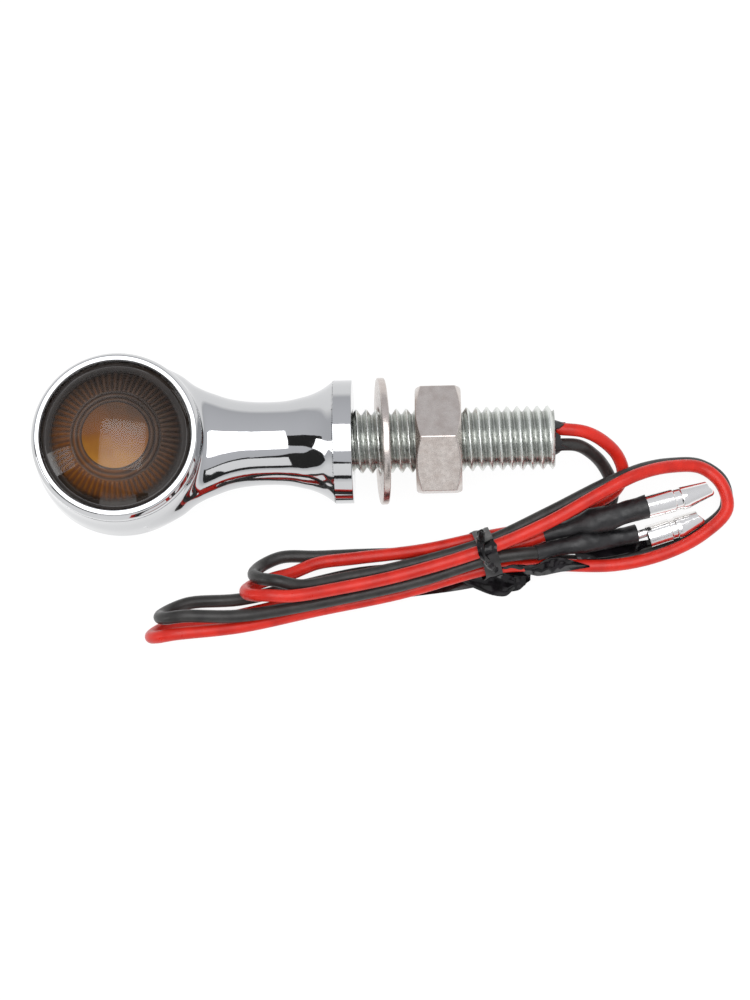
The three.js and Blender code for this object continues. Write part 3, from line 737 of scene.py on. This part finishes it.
make_ring()
make_outer_lens()
make_inner_lens()

# ---- stud, washer, nut and the sleeve at the mouth ----

AXIS = at(0, 0, STEM_Z)
PITCH = 1.25
CREST_X = 22.8  # a crest passes the +Y side here
BORE_R = 2.5
BORE_DEPTH = 14
THREAD_START = FACE_X - 0.8


def make_stud():
    """A right-hand thread cut along the stud, turning out into the chamfer of its free end."""
    xs = np.arange(THREAD_START, END_X + 1e-6, PITCH / 14)
    xs[-1] = END_X
    angle = circle(96)
    phase = ((xs[:, None] - CREST_X) / PITCH - angle[None, :] / (2 * np.pi)) % 1
    flank = np.abs(phase - 0.5) * 2  # 1 on a crest, 0 in a root
    shape = np.clip((flank - 0.14) / 0.74, 0, 1)
    worn = 0.02 * np.sin(5 * angle + 1)[None, :] * np.sin(xs * 1.7)[:, None]
    depth = THREAD_R - THREAD_ROOT
    r = THREAD_ROOT + depth * shape + worn * shape
    chamfer = THREAD_R - 0.5 + (END_X - xs) * 1.1 + 0.12
    r = np.minimum(r, np.maximum(chamfer, THREAD_ROOT)[:, None])
    y, z = r * np.cos(angle), r * np.sin(angle)
    thread = np.stack([np.repeat(xs[:, None], len(angle), axis=1), y, z + STEM_Z], axis=-1)
    bore = turned([(THREAD_ROOT - 0.1, END_X + 0.001), (BORE_R + 0.2, END_X), (BORE_R, END_X - 0.2),
                   (BORE_R, END_X - BORE_DEPTH)], len(angle))
    bore = placed(np.stack([bore[..., 2], bore[..., 0], bore[..., 1]], axis=-1), AXIS)
    make_piece("stud_threaded", *grid(np.concatenate([thread, bore])), "zinc", ["stud"], sharp=50)


WASHER_LOW, WASHER_HIGH = box("washer")
WASHER_MIDDLE = (WASHER_LOW + WASHER_HIGH) / 2
WASHER_R = 7.9
WASHER_BORE_R = 4.35
WASHER_T = 0.9
WASHER_TILT = Matrix.Rotation(math.radians(5), 4, "Y") @ Matrix.Rotation(math.radians(2), 4, "Z")


def make_washer():
    half = WASHER_T / 2
    section = rounded([(WASHER_BORE_R, 0), (WASHER_BORE_R, half), (WASHER_R, half), (WASHER_R, -half),
                       (WASHER_BORE_R, -half), (WASHER_BORE_R, 0)], 0.22)
    ring = turned(section, 128)
    angle = circle(128)
    ring[..., 2] += 0.02 * np.sin(3 * angle + 0.7)  # stamped from sheet, so not quite flat
    ring = placed(ring, at(*WASHER_MIDDLE) @ WASHER_TILT @ ALONG_X)
    make_piece("washer_stamped", *grid(ring, wrap_rows=True), "nickel", ["washer"], "washer", sharp=40)


NUT_LOW, NUT_HIGH = box("nut")
NUT_T = NUT_HIGH.x - NUT_LOW.x
NUT_FLATS = 13
NUT_BORE_R = 4.15
NUT_TURN = 7.6  # degrees from +Z towards -Y, to the nearest corner
NUT_FACE_R = 6.3
NUT_SLOPE = 0.55  # how far the chamfer drops for each millimetre outwards


def make_nut():
    """A hexagon whose corners are chamfered at both faces."""
    angle = circle(6 * 14)
    off_flat = np.abs((angle % (math.pi / 3)) - math.pi / 6)  # from the middle of the nearest flat
    hexagon = NUT_FLATS / 2 / np.cos(off_flat)
    drop = (hexagon - NUT_FACE_R) * NUT_SLOPE + 0.05
    face = [(NUT_BORE_R, 0.55), (NUT_BORE_R + 0.5, 0), (NUT_FACE_R, 0)]
    sides = [(hexagon, drop + (NUT_T - 2 * drop) * share) for share in (0, *np.linspace(0.1, 0.9, 7), 1)]
    around = angle + math.radians(NUT_TURN)
    points = []
    for r, t in [*face, *sides, *((r, NUT_T - t) for r, t in face[::-1])]:
        x = np.broadcast_to(NUT_LOW.x + t, angle.shape)
        points.append(np.stack([x, -r * np.sin(around), STEM_Z + r * np.cos(around)], axis=-1))
    skin = grid(np.array(points), wrap_rows=True)
    nut = make_piece("nut_hexagon", *skin, "nickel", ["nut"], "nut", sharp=25)
    edge = nut.modifiers.new("edges", "BEVEL")
    edge.width = 0.16 * MM
    edge.segments = 3
    edge.limit_method = "ANGLE"
    edge.angle_limit = math.radians(22)
    edge.harden_normals = True


make_stud()
make_washer()
make_nut()

# ---- soft and rolled pieces on the leads ----


def sweep(places, line, section):
    """A section, rows x sides x 2, round each place: its first number goes left of the line, its second up.
    Each row takes its direction from the line's nearest point, so rows can turn back along it."""
    along = np.gradient(line, axis=0)
    along /= np.linalg.norm(along, axis=1)[:, None]
    left = np.cross([0, 0, 1], along)
    left /= np.linalg.norm(left, axis=1)[:, None]
    up = np.cross(along, left)
    nearest = np.linalg.norm(places[:, None] - line[None], axis=-1).argmin(axis=1)
    left, up = left[nearest][:, None], up[nearest][:, None]
    return places[:, None] + section[..., :1] * left + section[..., 1:] * up


def lumps(points, size, seed=0.0):
    """Smooth noise from -1 to 1 at each point, in lumps of about size millimetres."""
    flat = points.reshape(-1, 3) / size + seed
    return np.array([noise.noise(Vector(p)) for p in flat]).reshape(points.shape[:-1])


def stations(line):
    """How far along a line each of its points is."""
    return np.concatenate([[0], np.cumsum(np.linalg.norm(np.diff(line, axis=0), axis=1))])


SLEEVE_WALL = 0.24
SLEEVE_WOBBLE = 0.13
SLEEVE_BACK = 8  # rows that turn back inside the open end


def make_sleeve(name, route, widths, node, seed):
    """Shrunk sleeving: widths are (share of the length, radius). It grips the lead at one end and is open at
    the other, and follows what is under it in soft lumps."""
    line = through(route, 14)
    share = stations(line) / stations(line)[-1]
    radius = smooth_curve(widths, share)
    angle = circle(44)
    unit = np.stack([np.cos(angle), np.sin(angle)], axis=-1)
    smooth = sweep(line, line, radius[:, None, None] * unit[None])
    dents = lumps(smooth, 1.9, seed) + 0.45 * lumps(smooth, 0.8, seed + 7)
    fade = np.clip(share * 5, 0.15, 1) * np.clip((1 - share) * 6, 0.25, 1)
    r = radius[:, None] * (1 + SLEEVE_WOBBLE * dents * fade[:, None])
    mouth = [r[-1:] - SLEEVE_WALL / 2, r[-1:] - SLEEVE_WALL, r[-SLEEVE_BACK:-1][::-1] - SLEEVE_WALL]
    grip = np.maximum(r[:1] - SLEEVE_WALL, WIRE_R)
    section = np.concatenate([grip, r, *mouth])[..., None] * unit
    places = np.concatenate([line[:1], line, line[-1:], line[-1:], line[-SLEEVE_BACK:-1][::-1]])
    make_piece(name, *grid(sweep(places, line, section)), "sleeving", [node], sharp=60)


def rolled(line, radii, wall, gap, turn, sides=56):
    """A strip rolled round a line, as points: open along its length by gap degrees, the gap facing turn."""
    angle = np.radians(turn + np.linspace(gap / 2, 360 - gap / 2, sides))
    angle = np.concatenate([angle, angle[::-1]])
    outside = np.arange(2 * sides) < sides
    radii = np.asarray(radii, float)
    middle = radii[:, None] - wall / 2
    r = np.where(outside[None], radii[:, None], radii[:, None] - wall)
    first, last = (np.repeat(row, 2 * sides, axis=1) for row in (middle[:1], middle[-1:]))
    r = np.concatenate([first, r, last])
    section = r[..., None] * np.stack([np.cos(angle), np.sin(angle)], axis=-1)
    return sweep(np.concatenate([line[:1], line, line[-1:]]), line, section)


BULLET_R = 1.45
BULLET_SIDE = [
    (0, 1.0), (0.42, 1.0), (0.435, 0.9), (0.53, 0.9), (0.545, 1.0), (0.62, 1.0), (0.985, 0.7), (1, 0.62),
]  # share of the length, share of the radius
BULLET_WALL = 0.2
NOSE_START = 0.58
NOSE_LEAN = 0.7
WING_R = 0.55
WING_LEFT = 0.62
WING_BACK = 1.3
WING_IN = 1.2


def make_bullet(name, start, end, first, seam, node):
    """A bullet terminal of rolled sheet: an open barrel with a ring groove, a nose that slopes on one side,
    and behind it two crimp wings that grip the lead."""
    start, end = np.array(start), np.array(end)
    creases = [t + d for t, _ in BULLET_SIDE for d in (-0.004, 0.004)]
    share = np.unique(np.concatenate([np.linspace(0, 1, 60), creases]))
    share = share[(share >= 0) & (share <= 1)]
    radius = BULLET_R * np.interp(share, *np.array(BULLET_SIDE).T)
    length = np.linalg.norm(end - start)
    along = (end - start) / length
    left = np.cross([0, 0, 1], along)
    left /= np.linalg.norm(left)
    barrel_start = start + first * length * along
    lean = np.where(share > NOSE_START, NOSE_LEAN * (BULLET_R - radius), 0)
    barrel_line = barrel_start + share[:, None] * (end - barrel_start) + lean[:, None] * left
    wing_steps = np.linspace(-WING_BACK, first * length + WING_IN, 14)
    wing_line = start + wing_steps[:, None] * along + WING_LEFT * left
    barrel = rolled(barrel_line, radius, BULLET_WALL, 14, seam)
    wings = rolled(wing_line, np.full(len(wing_line), WING_R), BULLET_WALL, 80, seam + 150, 20)
    make_piece(name, *joined(grid(barrel), grid(wings)), "tinned", [node], sharp=30)


MOUTH_R = 2.38
MOUTH_DEPTH = 12


def make_mouth():
    """The sleeve in the stud's bore, torn off just outside it and pinched round the two leads."""
    angle = circle(60)
    torn = 0.75 + 0.5 * np.sin(3 * angle + 0.6) + 0.3 * np.sin(7 * angle + 2) + 0.16 * np.sin(13 * angle)
    rows = []
    for share in np.linspace(0, 1, 16):
        x = END_X - MOUTH_DEPTH + (MOUTH_DEPTH + torn) * min(1, share * 1.12)
        out = np.clip(x - END_X + 0.3, 0, 1)
        wide, high = MOUTH_R - 0.5 * out, MOUTH_R - 0.85 * out
        thin = 0.2 * (share > 0.95)
        y, z = (wide - thin) * np.cos(angle), STEM_Z + (high - thin) * np.sin(angle)
        rows.append(np.stack([x, y, z], axis=-1))
    back = [np.stack([row[:, 0] - 0.05, row[:, 1] * 0.86, STEM_Z + (row[:, 2] - STEM_Z) * 0.86], axis=-1)
            for row in rows[:-3][::-1]]
    make_piece("mouth_sleeve", *grid(np.array(rows + back)), "sleeving", ["lead_sleeve"], sharp=50)


RIBBON_T = 0.12


def make_ribbon(name, left, right, nodes=(), crumple=0.1, size=1.1, bow=0.0, seed=0.0, per_span=9):
    """A piece of ribbon between two edges, crumpled by lumps of a size and bowed up in its middle."""
    a, b = through(left, per_span), through(right, per_span)
    across = np.linspace(0, 1, 13)
    sheet = a[:, None] * (1 - across)[None, :, None] + b[:, None] * across[None, :, None]
    along = np.gradient(sheet, axis=0)
    normal = np.cross(along, (b - a)[:, None])
    normal /= np.maximum(np.linalg.norm(normal, axis=-1, keepdims=True), 1e-9)
    folds = 1 - 2 * np.abs(lumps(sheet, size, seed))
    lift = crumple * folds + bow * np.sin(np.pi * across)[None]
    sheet = sheet + normal * lift[..., None]
    top, under = sheet + normal * RIBBON_T / 2, sheet - normal * RIBBON_T / 2
    shell = np.concatenate([top, under[:, ::-1]], axis=1)
    ends = [np.concatenate([sheet[i], sheet[i][::-1]])[None] for i in (0, -1)]
    points = np.concatenate([ends[0], shell, ends[1]])
    points[..., 2] = np.maximum(points[..., 2], 0.02)
    make_piece(name, *grid(points), "tie_ribbon", nodes, sharp=38)


TIE = Vector((23.72, -13.64, 0))
TIE_TURN = 16.7  # degrees that the strands run from +X towards +Y at the tie
STRANDS = [
    (0.95, 1.2), (2, 2.8), (0.95, 4.6), (0, 6.3), (-0.95, 4.8), (-1.95, 2.8), (-1, 1.2),
]  # across, height


def make_wrap():
    """The ribbon pulled tight round the outermost strands."""
    along = Vector((math.cos(math.radians(TIE_TURN)), math.sin(math.radians(TIE_TURN)), 0))
    left = Vector((-along.y, along.x, 0))
    edges = ([], [])
    for step in range(41):
        angle = 2 * math.pi * step / 40
        out = (math.cos(angle), math.sin(angle))
        across, height = max(STRANDS, key=lambda s: s[0] * out[0] + s[1] * out[1])
        across += (WIRE_R + 0.22) * out[0]
        height += (WIRE_R + 0.22) * out[1]
        slant = 0.3 * math.sin(angle) + 0.12 * math.sin(5 * angle)
        for edge, offset in zip(edges, (-1.2 + slant, 1.05 + 0.6 * slant)):
            edge.append(TIE + along * offset + left * across + Vector((0, 0, height)))
    make_ribbon("tie_band", *edges, nodes=["tie_wrap"], crumple=0.16, size=1.3, seed=3, per_span=3)


RIBBONS = [
    dict(name="tie_twist", crumple=0.3, size=0.9, bow=0.3, seed=5,
         left=[(22.6, -11.7, 6.3), (22.5, -13, 7.5), (22.7, -14.3, 7.6), (23.6, -15.5, 5.4), (24.3, -16, 3.6)],
         right=[(23.6, -11.5, 6.2), (23.5, -12.9, 7.6), (23.5, -14.2, 7.7), (24.5, -15.2, 5.5),
                (25.2, -15.6, 3.9)]),
    dict(name="tie_lump", nodes=["tie_knot"], crumple=0.34, size=1.9, bow=0.35, seed=11,
         left=[(24.1, -15.4, 3.5), (25.6, -15.6, 3.8), (27.2, -15.4, 4), (28.6, -15.5, 3.7), (29.4, -16.1, 3)],
         right=[(24.1, -16.4, 2.4), (25.6, -17, 2.7), (27.2, -17.9, 1.5), (28.4, -17.7, 1.4), (29.2, -17, 1.9)]),
    dict(name="tie_lump_under", crumple=0.25, size=1.8, bow=0.4, seed=17,
         left=[(24.6, -15.9, 2.6), (26.2, -16.3, 2.9), (27.8, -16.5, 2.6), (28.9, -16.6, 2)],
         right=[(24.8, -17.2, 1.1), (26.2, -18.3, 0.9), (27.6, -18.1, 0.7), (28.6, -17.4, 0.9)]),
    dict(name="tie_lobe", crumple=0.05, size=1.6, bow=-0.2, seed=2,
         left=[(19.3, -16.1, 0.55), (21.8, -15.9, 1.1), (24.2, -16.2, 1.7), (26, -16.7, 2.1), (27.1, -17.1, 2.3)],
         right=[(19.3, -16.25, 0.4), (22.3, -17.7, 0.35), (24.6, -18.6, 0.4), (26.1, -18.75, 0.8),
                (27.2, -17.9, 1.6)]),
    dict(name="tie_tail_over", nodes=["tie_tail_right"], crumple=0.12, size=1.3, bow=0.25, seed=8,
         left=[(28.2, -15.5, 4), (30, -15.3, 4.3), (31.4, -14.75, 4.7), (32.9, -14.65, 4.7), (34.3, -14.95, 4.3),
               (36.5, -15.6, 3.8)],
         right=[(28.6, -16.4, 3.4), (30.2, -16.7, 3.5), (31.5, -16.55, 3.6), (32.9, -16.3, 3.7),
                (34.2, -16.1, 3.7), (36.6, -15.75, 3.7)]),
    dict(name="tie_tail_end", crumple=0.06, seed=4,
         left=[(34.8, -13.9, 3), (38, -13.2, 2), (41, -12.5, 1.3), (44.5, -11.9, 0.6)],
         right=[(35.2, -14.6, 2.7), (38, -14.4, 2.4), (41, -13.9, 2.2), (44.9, -13, 0.7)]),
    dict(name="tie_tail_under", nodes=["tie_tail_left"], crumple=0.05, size=1.5, seed=6,
         left=[(24.5, -14.8, 0.2), (20, -15.7, 0.12), (14, -16.7, 0.1), (10.3, -17.3, 0.1)],
         right=[(24.9, -17, 0.2), (20.4, -17.8, 0.12), (14.4, -18.5, 0.1), (6.2, -19.5, 0.1)]),
]

RED_SLEEVE = [(31, -11.5, 3.3), (33, -11, 3.5), (36.8, -10.1, 4), (40.5, -9.25, 4.3), (44, -8.3, 4.6)]
RED_WIDTHS = [(0, 0.97), (0.2, 1.02), (0.34, 1.2), (0.46, 1.6), (0.58, 1.68), (0.72, 1.45), (1, 1.5)]
BLACK_SLEEVE = [(29.9, -13.9, 4.3), (32, -13.4, 3.9), (35.8, -12.6, 3.2), (39.6, -12, 2.5), (42.6, -11.4, 2.1)]
BLACK_WIDTHS = [(0, 0.97), (0.22, 1), (0.36, 1.1), (0.48, 1.45), (0.6, 1.38), (0.72, 1.15), (1, 1.2)]

make_mouth()
make_sleeve("red_sleeve", RED_SLEEVE, RED_WIDTHS, "red_heat_shrink", 1.3)
make_sleeve("black_sleeve", BLACK_SLEEVE, BLACK_WIDTHS, "black_heat_shrink", 4.1)
make_bullet("red_terminal", (43.8, -8.45, 4.6), (51.8, -6.45, 3.6), 0.0, -110, "red_bullet")
make_bullet("black_terminal", (43, -12.2, 2.5), (50.6, -9.9, 2.6), 0.14, -120, "black_bullet")
make_wrap()
for ribbon in RIBBONS:
    make_ribbon(**ribbon)

# ---- lights, surround and floor ----

FLOOR_SIZE = 6000


def towards_origin(place, axis, turn=0.0):
    """The rotation that points an axis from a place to the origin, turned about it by degrees."""
    facing = (-Vector(place)).to_track_quat(axis, "Y").to_matrix()
    return (facing @ Matrix.Rotation(math.radians(turn), 3, "Z")).to_euler()


def area_light(name, place, width, height, radiance, turn):
    """A flat light whose power gives it that radiance."""
    data = bpy.data.lights.new(name, "AREA")
    data.shape = "RECTANGLE"
    data.size, data.size_y = width * MM, height * MM
    data.energy = radiance * math.pi * data.size * data.size_y
    light = bpy.data.objects.new(name, data)
    bpy.context.scene.collection.objects.link(light)
    light.location = Vector(place) * MM
    light.rotation_euler = towards_origin(place, "-Z", turn)


def panel(name, width, height, colour, roughness, specular, glow):
    """A flat rectangle round the origin, with its own plain paint."""
    mesh = bpy.data.meshes.new(name)
    x, y = width * MM / 2, height * MM / 2
    mesh.from_pydata([(-x, -y, 0), (x, -y, 0), (x, y, 0), (-x, y, 0)], [], [(0, 1, 2, 3)])
    paint = bpy.data.materials.new(name)
    paint.use_nodes = True
    surface = paint.node_tree.nodes["Principled BSDF"]
    surface.inputs["Base Color"].default_value = (*colour, 1)
    surface.inputs["Roughness"].default_value = roughness
    surface.inputs["Specular IOR Level"].default_value = specular
    surface.inputs["Emission Color"].default_value = (1, 1, 1, 1)
    surface.inputs["Emission Strength"].default_value = glow
    mesh.materials.append(paint)
    made = bpy.data.objects.new(name, mesh)
    bpy.context.scene.collection.objects.link(made)
    return made


def card(name, place, width, height, grey, glow):
    """A flat card that shows in reflections only."""
    made = panel(name, width, height, (grey, grey, grey), 0.9, 0.5, glow)
    made.location = Vector(place) * MM
    made.rotation_euler = towards_origin(place, "Z")
    made.visible_camera = False
    made.visible_diffuse = False
    made.visible_shadow = False


def make_surround():
    world = bpy.data.worlds.new("surround")
    bpy.context.scene.world = world
    world.use_nodes = True
    nodes, links = world.node_tree.nodes, world.node_tree.links
    split = nodes.new("ShaderNodeSeparateXYZ")
    links.new(nodes.new("ShaderNodeTexCoord").outputs["Generated"], split.inputs[0])
    ramp = nodes.new("ShaderNodeValToRGB")
    links.new(split.outputs["Z"], ramp.inputs["Fac"])
    marks = ramp.color_ramp.elements
    marks[0].position, marks[0].color = 0.0, (1.25, 1.25, 1.25, 1)
    marks[1].position, marks[1].color = 1.0, (0.95, 0.96, 1, 1)
    middle = marks.new(0.16)
    middle.color = (0.8, 0.81, 0.84, 1)
    links.new(ramp.outputs["Color"], nodes["Background"].inputs["Color"])
    nodes["Background"].inputs["Strength"].default_value = 0.78


def make_floor():
    floor = panel("floor", FLOOR_SIZE, FLOOR_SIZE, (0.12, 0.12, 0.12), 1, 0, 0.92)
    floor.location.z = -0.02 * MM


make_surround()
make_floor()
area_light("softbox", (4, -28, 620), 500, 560, 2.7, -14)
card("dark_above", (-430, -60, 600), 330, 760, 0.01, 0.0)
card("white_side", (-650, -130, 350), 250, 420, 0.8, 2.2)
card("dark_front", (-230, -520, 290), 1150, 430, 0.01, 0.0)
card("grey_front", (-60, -500, 262), 330, 240, 0.3, 0.75)

bpy.context.scene.view_settings.view_transform = "Standard"

# ---- what is left of the frame's own pieces ----

INNER_FINISHES = {
    "lens_gasket": "seal_rubber", "reflector": "reflector_silver", "bulb_glass": "bulb_amber",
    "bulb_base": "brass", "bulb_socket": "brass", "socket_insulator": "phenolic", "contact_spring": "spring_steel",
    "contact_pin": "brass", "contact_strip": "brass", "ground_tab": "brass",
    "red_inner_lead": "red_pvc", "black_inner_lead": "black_pvc",
}
for node, finish in INNER_FINISHES.items():
    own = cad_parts[node]
    own.data.materials.clear()
    own.data.materials.append(FINISHES[finish])
